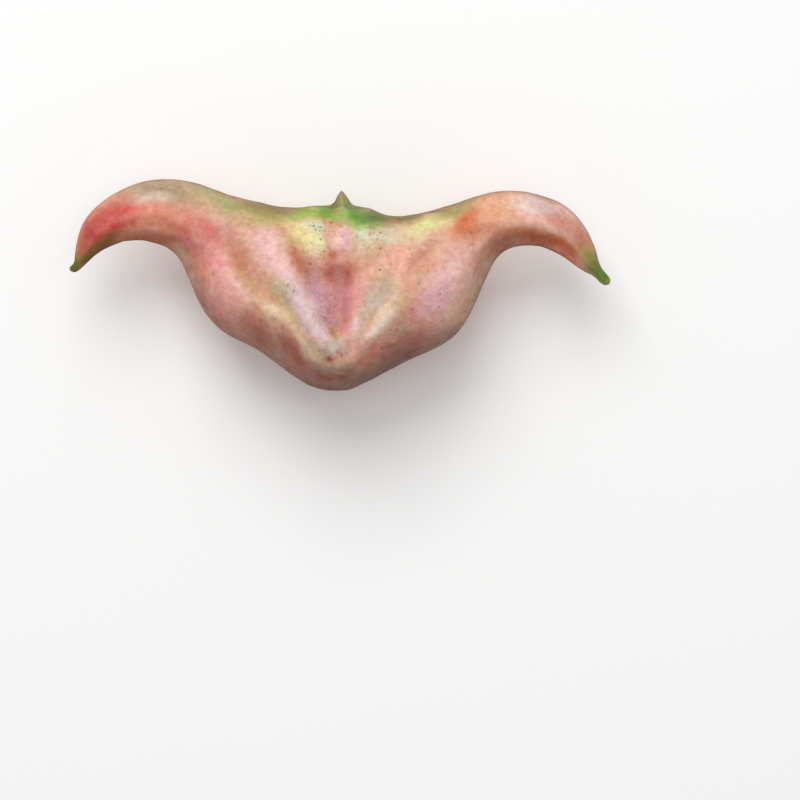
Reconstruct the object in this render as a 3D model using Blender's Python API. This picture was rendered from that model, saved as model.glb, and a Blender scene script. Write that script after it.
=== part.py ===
"""A fresh two-horned water caltrop, picked and laid on its back.

The fruit grew as one piece, so it is one solid. X runs from horn to horn, Y from the
stalk scar to the crown, and Z points up out of the face that shows.
"""

import math

import bmesh
import bpy
import numpy as np
from mathutils import Vector

MM = 0.001

# How finely the skin is divided. The rings have these spacings at these distances from
# the nearer horn tip, in millimetres and before they are stretched to their number.
RINGS = 90
POINTS_AROUND = 60
RING_DISTANCES = (0.0, 1.0, 2.0, 4.0, 10.0, 24.0, 32.0)
RING_SPACINGS = (0.22, 0.22, 0.5, 0.5, 1.0, 1.0, 0.9)
PLACES_TRIED = 400

# Sections of the skin from one horn's tip to the other's, in millimetres from the crown's
# axis: outer edge x and y, inner edge x and y, half depth, and how far its middle stands
# forward of the fruit's own middle.
LEFT_HORN = (
    (-36.7, 2.4, -36.1, 1.7, 0.40, 1.3),
    (-36.1, 2.8, -35.3, 2.0, 0.55, 1.3),
    (-35.8, 4.0, -33.6, 3.6, 1.00, 1.2),
    (-35.5, 5.9, -32.2, 4.7, 1.60, 1.1),
    (-34.7, 8.4, -30.6, 5.6, 2.20, 0.9),
    (-32.7, 10.9, -28.8, 6.2, 2.80, 0.7),
    (-28.5, 13.4, -26.7, 6.1, 3.40, 0.4),
    (-24.0, 14.4, -24.3, 5.5, 3.90, 0.2),
    (-19.4, 13.8, -22.0, 3.9, 4.60, 0.1),
)
BODY = (
    (-15.4, 12.3, -20.2, 0.0, 5.90, 0.0),
    (-11.7, 11.4, -18.2, -3.9, 7.30, 0.0),
    (-8.3, 10.6, -14.5, -7.0, 8.60, 0.0),
    (-6.4, 10.5, -11.6, -8.4, 9.15, 0.0),
    (-4.6, 10.4, -9.0, -10.3, 9.60, 0.0),
    (-0.3, 10.1, -1.7, -14.0, 10.00, 0.0),
    (3.9, 9.8, 4.4, -12.3, 9.70, 0.0),
    (7.5, 9.4, 9.1, -9.8, 8.80, 0.0),
    (11.7, 10.1, 14.5, -7.1, 7.40, 0.0),
    (15.7, 11.3, 17.4, -3.2, 6.00, 0.0),
)
RIGHT_HORN = (
    (19.3, 12.5, 19.3, 1.3, 4.90, -0.1),
    (23.3, 12.8, 21.1, 4.2, 4.10, 0.0),
    (27.6, 11.9, 23.9, 5.4, 3.50, 0.3),
    (30.8, 10.0, 26.8, 5.2, 2.90, 0.6),
    (32.7, 7.5, 28.9, 4.2, 2.35, 0.9),
    (33.8, 5.0, 30.6, 3.1, 1.75, 1.1),
    (34.3, 3.2, 32.3, 1.9, 1.20, 1.3),
    (34.8, 2.2, 33.6, 1.3, 0.65, 1.4),
    (35.6, 1.2, 34.5, 0.4, 0.55, 1.5),
    (36.0, 0.5, 35.3, -0.1, 0.45, 1.5),
)

# A section is an ellipse made fuller below its middle in front and behind, and squarer.
HORN_SECTION = {"front": 0.10, "back": 0.10, "box": -0.02}
BODY_SECTION = {"front": 0.11, "back": -0.06, "box": 0.03}
BODY_FROM, BODY_FULL = 4.4, 8.0
TIP_ROUNDING = 0.45

# The underside of each horn is pared to a keel: this plane, in shares of the section's
# half height and half depth, is where its front and back slopes begin.
KEEL_NORMAL = (-0.70, 0.71)
KEEL_OFFSET = 0.86
KEEL_SOFTNESS = 0.05

# Folds in the faces: start x and y, end x and y, half width and height, in millimetres.
FRONT_FOLDS = {
    "left ridge, upper": (-9.7, 6.6, -7.2, 0.8, 2.1, 0.7),
    "left ridge, lower": (-7.2, 0.8, -3.0, -7.2, 1.8, 0.9),
    "right ridge, upper": (8.4, 6.0, 3.7, 0.2, 2.1, 0.8),
    "right ridge, lower": (3.7, 0.2, 1.2, -6.4, 1.6, 0.8),
    "hollow between the ridges": (-0.7, 2.4, -0.5, -5.4, 2.2, -1.0),
    "crease in the hollow": (0.5, -0.6, 0.7, -5.6, 0.9, -0.35),
    "left trough": (-8.8, -1.8, -5.2, -7.8, 1.4, -0.5),
    "right trough": (5.8, -0.8, 3.4, -5.4, 1.6, -0.4),
    "left welt, upper": (-13.3, 0.5, -8.2, -4.6, 1.5, 0.45),
    "left welt, lower": (-8.2, -4.6, -3.7, -10.2, 1.3, 0.6),
    "lip round the boss": (-3.7, -10.2, 1.3, -10.6, 1.3, 0.8),
    "right welt": (1.3, -10.6, 6.4, -4.0, 1.5, 0.5),
    "boss where the ridges meet": (-1.7, -7.8, -0.2, -7.8, 1.8, 0.7),
    "pit in the boss": (-1.4, -9.4, -1.1, -9.5, 0.9, -0.5),
    "dip beside the right welt": (8.6, -4.8, 5.2, -8.2, 1.5, -0.3),
    "left cushion under the crown": (-3.6, 7.2, -3.0, 5.4, 1.9, 0.55),
    "right cushion under the crown": (3.9, 6.8, 3.5, 5.2, 1.9, 0.5),
    "rib under the crown": (0.3, 9.5, 0.2, 5.6, 0.9, 0.35),
    "left furrow": (-6.3, 5.6, -3.6, 0.0, 1.2, -0.5),
    "left cheek": (-16.4, -1.0, -15.4, -3.0, 3.2, 0.8),
    "right cheek": (13.0, -0.6, 13.2, -3.2, 3.4, 0.8),
    "left shoulder hollow": (-14.2, 4.0, -11.6, 0.8, 1.8, -0.4),
}
BACK_FOLDS = {
    "left ridge": (-9.0, 5.2, -3.0, -7.0, 2.0, 0.5),
    "right ridge": (9.4, 4.6, 3.2, -7.2, 2.0, 0.6),
    "swelling between the ridges": (-0.8, 3.2, -0.6, -1.2, 3.6, 0.7),
    "lip at the foot": (-3.0, -10.6, 3.2, -10.4, 1.6, 0.4),
    "left trough": (-11.4, 0.8, -6.0, -8.0, 1.6, -0.5),
    "right trough": (11.6, 0.4, 6.4, -7.8, 1.6, -0.45),
    "left cheek": (-15.8, -0.8, -15.0, -3.0, 3.2, 0.7),
    "right cheek": (13.2, -0.4, 13.8, -2.8, 3.3, 0.8),
    "left cushion under the crown": (-3.9, 7.0, -3.4, 5.4, 1.8, 0.4),
    "right cushion under the crown": (3.4, 7.0, 3.2, 5.6, 1.8, 0.45),
    "rib under the crown": (-0.3, 9.4, -0.2, 5.6, 0.9, 0.3),
}
# Folds fade to nothing between these distances from the fruit's middle plane.
FOLD_FADE = (1.0, 5.5)

# The crown: a low oval collar round a spike with four ribs and dips between them. The
# skin within reach of its middle is divided more finely.
CROWN_MIDDLE = (-0.1, 10.2, 0.0)
CROWN_REACH = 3.4
CROWN_CUTS = 2
CROWN_ABOVE = 2.0
COLLAR_RADIUS = (6.0, 4.4)
COLLAR_SHOULDER = 0.6
COLLAR_HEIGHT = 0.8
SPIKE_RADIUS = 1.7
SPIKE_HEIGHT = 1.5
SPIKE_SHARPNESS = 1.5
RIB_HEIGHT = 0.45
RIB_REACH = 3.6
RIB_SHARPNESS = 6
DIP_RADIUS = 2.0
DIP_WIDTH = 0.9
DIP_DEPTH = 0.3

# The stalk scar: an oval dimple with a raised rim, at the foot of the fruit.
SCAR_MIDDLE = (-1.6, -13.6, 0.0)
SCAR_REACH = 3.2
SCAR_CUTS = 1
SCAR_BELOW = -6.0
SCAR_RADIUS = (2.4, 1.9)
SCAR_FLOOR = 0.35
SCAR_DEPTH = 0.55
RIM_AT = 1.1
RIM_WIDTH = 0.3
RIM_HEIGHT = 0.25

# The back is worn flat this far in where it rests.
REST_DEPTH = 0.5
# Points closer together than this are one point, in millimetres.
SAME_POINT = 0.03

SKIN_COLOUR = (0.78, 0.52, 0.42, 1.0)
SKIN_ROUGHNESS = 0.42


def smoothstep(low, high, value):
    share = np.clip((value - low) / (high - low), 0.0, 1.0)
    return share * share * (3.0 - 2.0 * share)


def spline(knots, rows, at):
    """Natural cubic spline through rows, one for each knot, read at the given places."""
    step = np.diff(knots)
    slope = np.diff(rows, axis=0) / step[:, None]
    size = len(knots)
    matrix = np.eye(size)
    turns = np.zeros_like(rows)
    for i in range(1, size - 1):
        matrix[i, i - 1 : i + 2] = step[i - 1], 2 * (step[i - 1] + step[i]), step[i]
        turns[i] = 6 * (slope[i] - slope[i - 1])
    bend = np.linalg.solve(matrix, turns)
    span = np.clip(np.searchsorted(knots, at, side="right") - 1, 0, size - 2)
    gap = step[span][:, None]
    after = (at - knots[span])[:, None] / gap
    before = 1 - after
    curved = (before**3 - before) * bend[span] + (after**3 - after) * bend[span + 1]
    return before * rows[span] + after * rows[span + 1] + curved * gap**2 / 6


def station_table():
    """The sections as rows of numbers, and how far along the fruit's middle each lies."""
    rows = np.array(LEFT_HORN + BODY + RIGHT_HORN)
    middles = (rows[:, 0:2] + rows[:, 2:4]) / 2
    lengths = np.linalg.norm(np.diff(middles, axis=0), axis=1)
    return rows, np.concatenate([[0.0], np.cumsum(lengths)])


def ring_places(shares, knots):
    """Places along the fruit for shares of its rings, closer together at the tips."""
    fine = np.linspace(0.0, knots[-1], PLACES_TRIED)
    from_tip = np.minimum(fine, knots[-1] - fine)
    spacing = np.interp(from_tip, RING_DISTANCES, RING_SPACINGS)
    rings = np.concatenate([[0.0], np.cumsum(np.diff(fine) / spacing[1:])])
    return np.interp(shares * rings[-1], rings, fine)


def pared(height, depth, horn_share):
    """Horn sections with the slopes of their underside pared flat towards the keel."""
    beyond = height * KEEL_NORMAL[0] + np.abs(depth) * KEEL_NORMAL[1] - KEEL_OFFSET
    cut = KEEL_SOFTNESS * np.logaddexp(0.0, beyond / KEEL_SOFTNESS) * horn_share
    thinner = np.maximum(np.abs(depth) - cut * KEEL_NORMAL[1], 0.0)
    return height - cut * KEEL_NORMAL[0], np.sign(depth) * thinner


def smooth_skin(along, around):
    """Points of the fruit without its folds, in millimetres."""
    rows, knots = station_table()
    places = ring_places(along, knots)
    outer_x, outer_y, inner_x, inner_y, half_depth, forward = spline(knots, rows, places).T
    end = np.minimum(places, knots[-1] - places)
    rounding = np.sqrt(1.0 - (1.0 - np.clip(end / TIP_ROUNDING, 0.0, 1.0)) ** 2)
    body = smoothstep(BODY_FROM, BODY_FULL, half_depth)
    blend = {name: HORN_SECTION[name] * (1.0 - body) + BODY_SECTION[name] * body for name in BODY_SECTION}
    fuller = np.where(around > 0, blend["front"], blend["back"])
    height = np.cos(around)
    depth = np.sin(around) - fuller * np.sin(2 * around) + blend["box"] * np.sin(3 * around)
    height, depth = pared(height, depth, 1.0 - body)
    height, depth = height * rounding, depth * rounding
    x = (outer_x + inner_x) / 2 + height * (outer_x - inner_x) / 2
    y = (outer_y + inner_y) / 2 + height * (outer_y - inner_y) / 2
    return np.stack([x, y, forward + depth * half_depth], axis=1)


def fold_height(points, folds):
    """Height of the folds over each point, in millimetres."""
    total = np.zeros(len(points))
    for x0, y0, x1, y1, half_width, height in folds.values():
        start, run = np.array([x0, y0]), np.array([x1 - x0, y1 - y0])
        away = points[:, :2] - start
        share = np.clip(away @ run / (run @ run), 0.0, 1.0)
        distance = np.linalg.norm(away - share[:, None] * run, axis=1)
        total += height * np.exp(-((distance / half_width) ** 2))
    return total


def add_folds(points):
    """Raises the ridges and sinks the furrows of both faces."""
    fade = smoothstep(*FOLD_FADE, np.abs(points[:, 2]))
    front = fold_height(points, FRONT_FOLDS)
    back = -fold_height(points, BACK_FOLDS)
    points[:, 2] += fade * np.where(points[:, 2] > 0, front, back)


def add_crown(points):
    """Raises the collar and its spike on the fruit's upper edge."""
    x, z = points[:, 0] - CROWN_MIDDLE[0], points[:, 2]
    distance = np.hypot(x, z)
    share = np.hypot(x / COLLAR_RADIUS[0], z / COLLAR_RADIUS[1])
    collar = COLLAR_HEIGHT * (1.0 - smoothstep(COLLAR_SHOULDER, 1.0, share))
    rib = np.cos(2 * np.arctan2(z, x)) ** RIB_SHARPNESS
    ribs = RIB_HEIGHT * rib * np.clip(1.0 - distance / RIB_REACH, 0.0, 1.0)
    dips = DIP_DEPTH * (1.0 - rib) * np.exp(-(((distance - DIP_RADIUS) / DIP_WIDTH) ** 2))
    spike = SPIKE_HEIGHT * np.clip(1.0 - distance / SPIKE_RADIUS, 0.0, 1.0) ** SPIKE_SHARPNESS
    points[:, 1] += np.where(points[:, 1] > CROWN_ABOVE, collar + ribs - dips + spike, 0.0)


def add_stalk_scar(points):
    """Sinks the oval scar where the stalk broke away."""
    x, z = points[:, 0] - SCAR_MIDDLE[0], points[:, 2]
    share = np.hypot(x / SCAR_RADIUS[0], z / SCAR_RADIUS[1])
    dimple = SCAR_DEPTH * (1.0 - smoothstep(SCAR_FLOOR, 1.0, share))
    rim = RIM_HEIGHT * np.exp(-(((share - RIM_AT) / RIM_WIDTH) ** 2))
    points[:, 1] += np.where(points[:, 1] < SCAR_BELOW, dimple - rim, 0.0)


def refine(bm, centre, radius, cuts):
    """Divides the skin more finely round a small feature."""
    near = {v for v in bm.verts if (v.co - Vector(centre)).length < radius}
    edges = [e for e in bm.edges if e.verts[0] in near and e.verts[1] in near]
    bmesh.ops.subdivide_edges(bm, edges=edges, cuts=cuts, use_grid_fill=True)


def points_of(bm):
    return np.array([v.co for v in bm.verts])


def move_to(bm, points):
    for vert, point in zip(bm.verts, points):
        vert.co = Vector(point)


def flatten_rest(bm):
    """Cuts the flat spot that the fruit lies on, and stands the fruit on it."""
    lowest = min(v.co.z for v in bm.verts)
    height = lowest + REST_DEPTH
    everything = bm.verts[:] + bm.edges[:] + bm.faces[:]
    plane = {"plane_co": (0, 0, height), "plane_no": (0, 0, -1)}
    cut = bmesh.ops.bisect_plane(bm, geom=everything, clear_outer=True, **plane)
    rim = [e for e in cut["geom_cut"] if isinstance(e, bmesh.types.BMEdge)]
    bmesh.ops.holes_fill(bm, edges=rim, sides=0)
    points = points_of(bm)
    low, high = points.min(axis=0), points.max(axis=0)
    centre = Vector(((low[0] + high[0]) / 2, (low[1] + high[1]) / 2, height))
    bmesh.ops.translate(bm, vec=-centre, verts=bm.verts)


def fruit_mesh():
    """A sphere whose poles are drawn out into the tips of the two horns."""
    bm = bmesh.new()
    bmesh.ops.create_uvsphere(bm, u_segments=POINTS_AROUND, v_segments=RINGS, radius=1.0)
    sphere = points_of(bm)
    along = np.arccos(np.clip(sphere[:, 2], -1.0, 1.0)) / math.pi
    around = np.arctan2(sphere[:, 1], sphere[:, 0])
    move_to(bm, smooth_skin(along, around))
    refine(bm, CROWN_MIDDLE, CROWN_REACH, CROWN_CUTS)
    refine(bm, SCAR_MIDDLE, SCAR_REACH, SCAR_CUTS)
    points = points_of(bm)
    add_folds(points)
    add_crown(points)
    add_stalk_scar(points)
    move_to(bm, points)
    flatten_rest(bm)
    bmesh.ops.remove_doubles(bm, verts=bm.verts, dist=SAME_POINT)
    bmesh.ops.triangulate(bm, faces=bm.faces, quad_method="SHORT_EDGE", ngon_method="BEAUTY")
    bmesh.ops.scale(bm, vec=(MM, MM, MM), verts=bm.verts)
    bmesh.ops.recalc_face_normals(bm, faces=bm.faces)
    mesh = bpy.data.meshes.new("fruit")
    bm.to_mesh(mesh)
    bm.free()
    return mesh


def skin_material():
    material = bpy.data.materials.new("fresh_skin")
    material.use_nodes = True
    shader = material.node_tree.nodes["Principled BSDF"]
    shader.inputs["Base Color"].default_value = SKIN_COLOUR
    shader.inputs["Roughness"].default_value = SKIN_ROUGHNESS
    shader.inputs["Metallic"].default_value = 0.0
    return material


def clear_scene():
    for obj in list(bpy.data.objects):
        bpy.data.objects.remove(obj)


def main():
    clear_scene()
    collection = bpy.data.collections.new("water_caltrop")
    bpy.context.scene.collection.children.link(collection)
    fruit = bpy.data.objects.new("fruit", fruit_mesh())
    fruit.data.materials.append(skin_material())
    fruit.data.shade_smooth()
    collection.objects.link(fruit)


main()
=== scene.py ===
"""How the fresh water caltrop looks: the fine shape of its skin, its colours, and the light."""

import math

import bpy
import numpy as np
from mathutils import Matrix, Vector, noise


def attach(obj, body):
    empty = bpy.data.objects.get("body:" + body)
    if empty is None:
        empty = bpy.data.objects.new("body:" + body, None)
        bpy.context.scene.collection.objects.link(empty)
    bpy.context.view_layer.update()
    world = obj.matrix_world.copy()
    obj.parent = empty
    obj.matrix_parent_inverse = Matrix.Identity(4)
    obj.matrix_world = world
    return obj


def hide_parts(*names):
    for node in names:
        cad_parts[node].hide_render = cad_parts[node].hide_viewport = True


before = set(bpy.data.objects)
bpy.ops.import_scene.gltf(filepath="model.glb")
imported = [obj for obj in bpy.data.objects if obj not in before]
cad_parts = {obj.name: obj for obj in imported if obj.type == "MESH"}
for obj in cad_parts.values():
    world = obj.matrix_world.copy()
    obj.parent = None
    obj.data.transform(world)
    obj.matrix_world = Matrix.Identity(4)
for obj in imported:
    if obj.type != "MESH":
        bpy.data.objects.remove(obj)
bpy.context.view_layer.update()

MM = 0.001

# The picture: millimetres of the fruit to the image's width, and the point it centres on.
PICTURE_WIDTH = 107.2
PICTURE_CENTRE = (8.0, -15.4)
PICTURE_HEIGHT = 10.0
CAMERA_DISTANCE = 450.0
SENSOR_WIDTH = 36.0

# The fruit's middle plane lies this high. Its front is above it and its back below.
MIDDLE_PLANE = 10.2

# Skin colours, as they look in plain light.
PALETTE = {
    "apricot": (232, 180, 144),
    "apricot_brown": (194, 132, 102),
    "beige": (204, 176, 140),
    "blush_red": (202, 116, 108),
    "brick": (160, 74, 60),
    "brick_rose": (202, 104, 106),
    "bronze": (140, 98, 46),
    "burnt_orange": (202, 108, 68),
    "butter": (236, 220, 162),
    "candy_pink": (228, 150, 152),
    "chalk": (240, 226, 214),
    "copper": (200, 124, 80),
    "coral": (186, 66, 58),
    "coral_soft": (232, 146, 124),
    "cream": (232, 206, 172),
    "dark_olive": (104, 82, 36),
    "deep_green": (78, 130, 28),
    "dusky_rose": (208, 134, 130),
    "fresh_green": (92, 124, 42),
    "grass_green": (94, 148, 44),
    "ivory": (222, 212, 184),
    "leaf_green": (112, 156, 52),
    "lime": (186, 218, 102),
    "magenta": (196, 84, 96),
    "mauve": (214, 172, 184),
    "mist_green": (214, 222, 190),
    "nib_green": (92, 98, 34),
    "olive": (136, 126, 66),
    "olive_straw": (166, 156, 96),
    "orchid": (214, 156, 170),
    "pale_green": (154, 184, 106),
    "pale_lilac": (234, 206, 216),
    "pale_rose": (220, 170, 154),
    "papery": (222, 196, 192),
    "peach": (255, 198, 180),
    "peach_cream": (232, 188, 166),
    "primrose": (230, 226, 166),
    "rose_brown": (168, 92, 76),
    "rose_tan": (196, 134, 116),
    "rust": (186, 104, 60),
    "sage": (182, 180, 134),
    "sage_beige": (206, 190, 144),
    "sage_green": (98, 134, 54),
    "salmon": (218, 148, 124),
    "scarlet": (202, 66, 64),
    "shell_pink": (242, 196, 194),
    "spring_green": (168, 188, 108),
    "stone": (206, 186, 178),
    "straw": (172, 144, 88),
    "straw_green": (188, 178, 116),
    "tan": (206, 162, 122),
    "tan_brown": (170, 122, 94),
    "tan_green": (146, 142, 84),
    "tan_rose": (194, 142, 122),
    "taupe": (170, 150, 122),
    "taupe_pink": (200, 166, 150),
    "terracotta": (178, 110, 96),
    "umber": (140, 86, 58),
    "umber_rose": (156, 98, 80),
}

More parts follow.
